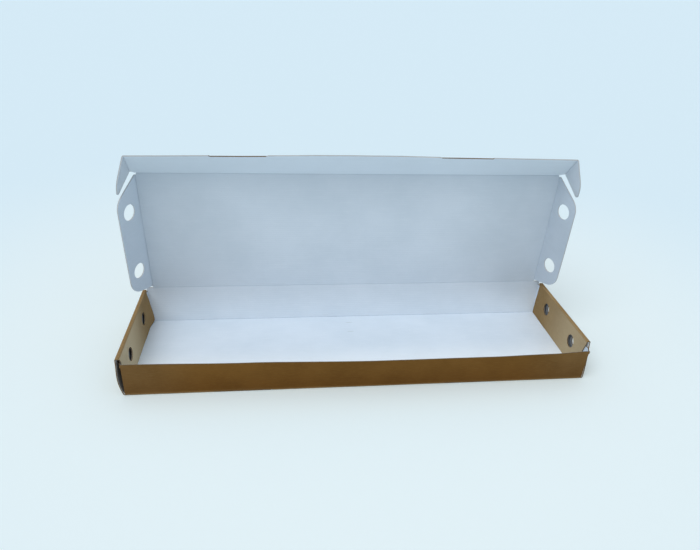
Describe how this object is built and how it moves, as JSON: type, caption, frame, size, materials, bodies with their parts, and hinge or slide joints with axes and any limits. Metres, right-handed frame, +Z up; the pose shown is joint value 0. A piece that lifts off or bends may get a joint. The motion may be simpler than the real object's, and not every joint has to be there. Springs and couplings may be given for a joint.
{
  "type": "cardboard tray box",
  "caption": "Long one-piece corrugated tray box, white inside and brown outside, with rolled double ends, vent holes and a hinged tuck-in lid standing open.",
  "frame": {"origin": "middle of the floor's underside", "axes": "+X to the right along the box, +Y to the back wall that carries the lid, +Z up"},
  "size_m": [0.6196, 0.1947, 0.2705],
  "materials": {
    "board": "matt white liner inside, brown kraft liner outside"
  },
  "bodies": {
    "tray": {"tray": "board"},
    "lid": {"lid": "board"},
    "front_flap": {"front_flap": "board"},
    "front_ear_left": {"front_ear_left": "board"},
    "front_ear_right": {"front_ear_right": "board"},
    "end_flap_left": {"end_flap_left": "board"},
    "end_flap_right": {"end_flap_right": "board"}
  },
  "joints": [
    {"name": "lid_hinge", "type": "hinge", "parent": "tray", "child": "lid", "pos_m": [0, 0.09305, 0.056], "axis": [1, 0, 0], "range_deg": [-95, 83.5]},
    {"name": "front_flap_fold", "type": "hinge", "parent": "lid", "child": "front_flap", "pos_m": [0, 0.07267, 0.23484], "axis": [1, 0, 0], "range_deg": [-72, 63]},
    {"name": "end_flap_left_fold", "type": "hinge", "parent": "lid", "child": "end_flap_left", "pos_m": [-0.291, 0.09305, 0.056], "axis": [0, -0.1132, 0.9936], "range_deg": [-58, 52]},
    {"name": "end_flap_right_fold", "type": "hinge", "parent": "lid", "child": "end_flap_right", "pos_m": [0.291, 0.09305, 0.056], "axis": [0, 0.1132, -0.9936], "range_deg": [-44, 39]},
    {"name": "front_ear_left_fold", "type": "hinge", "parent": "front_flap", "child": "front_ear_left", "pos_m": [-0.2965, 0.07008, 0.23734], "axis": [0.0616, -0.718, 0.6933], "range_deg": [-26, 23]},
    {"name": "front_ear_right_fold", "type": "hinge", "parent": "front_flap", "child": "front_ear_right", "pos_m": [0.2965, 0.07008, 0.23734], "axis": [0.0616, 0.718, -0.6933], "range_deg": [-26, 23]}
  ],
  "couplings": [
    {"joint": "front_flap_fold", "follows": "lid_hinge", "ratio": 0.74},
    {"joint": "end_flap_left_fold", "follows": "lid_hinge", "ratio": 0.6},
    {"joint": "end_flap_right_fold", "follows": "lid_hinge", "ratio": 0.45},
    {"joint": "front_ear_left_fold", "follows": "lid_hinge", "ratio": 0.26},
    {"joint": "front_ear_right_fold", "follows": "lid_hinge", "ratio": 0.26}
  ]
}
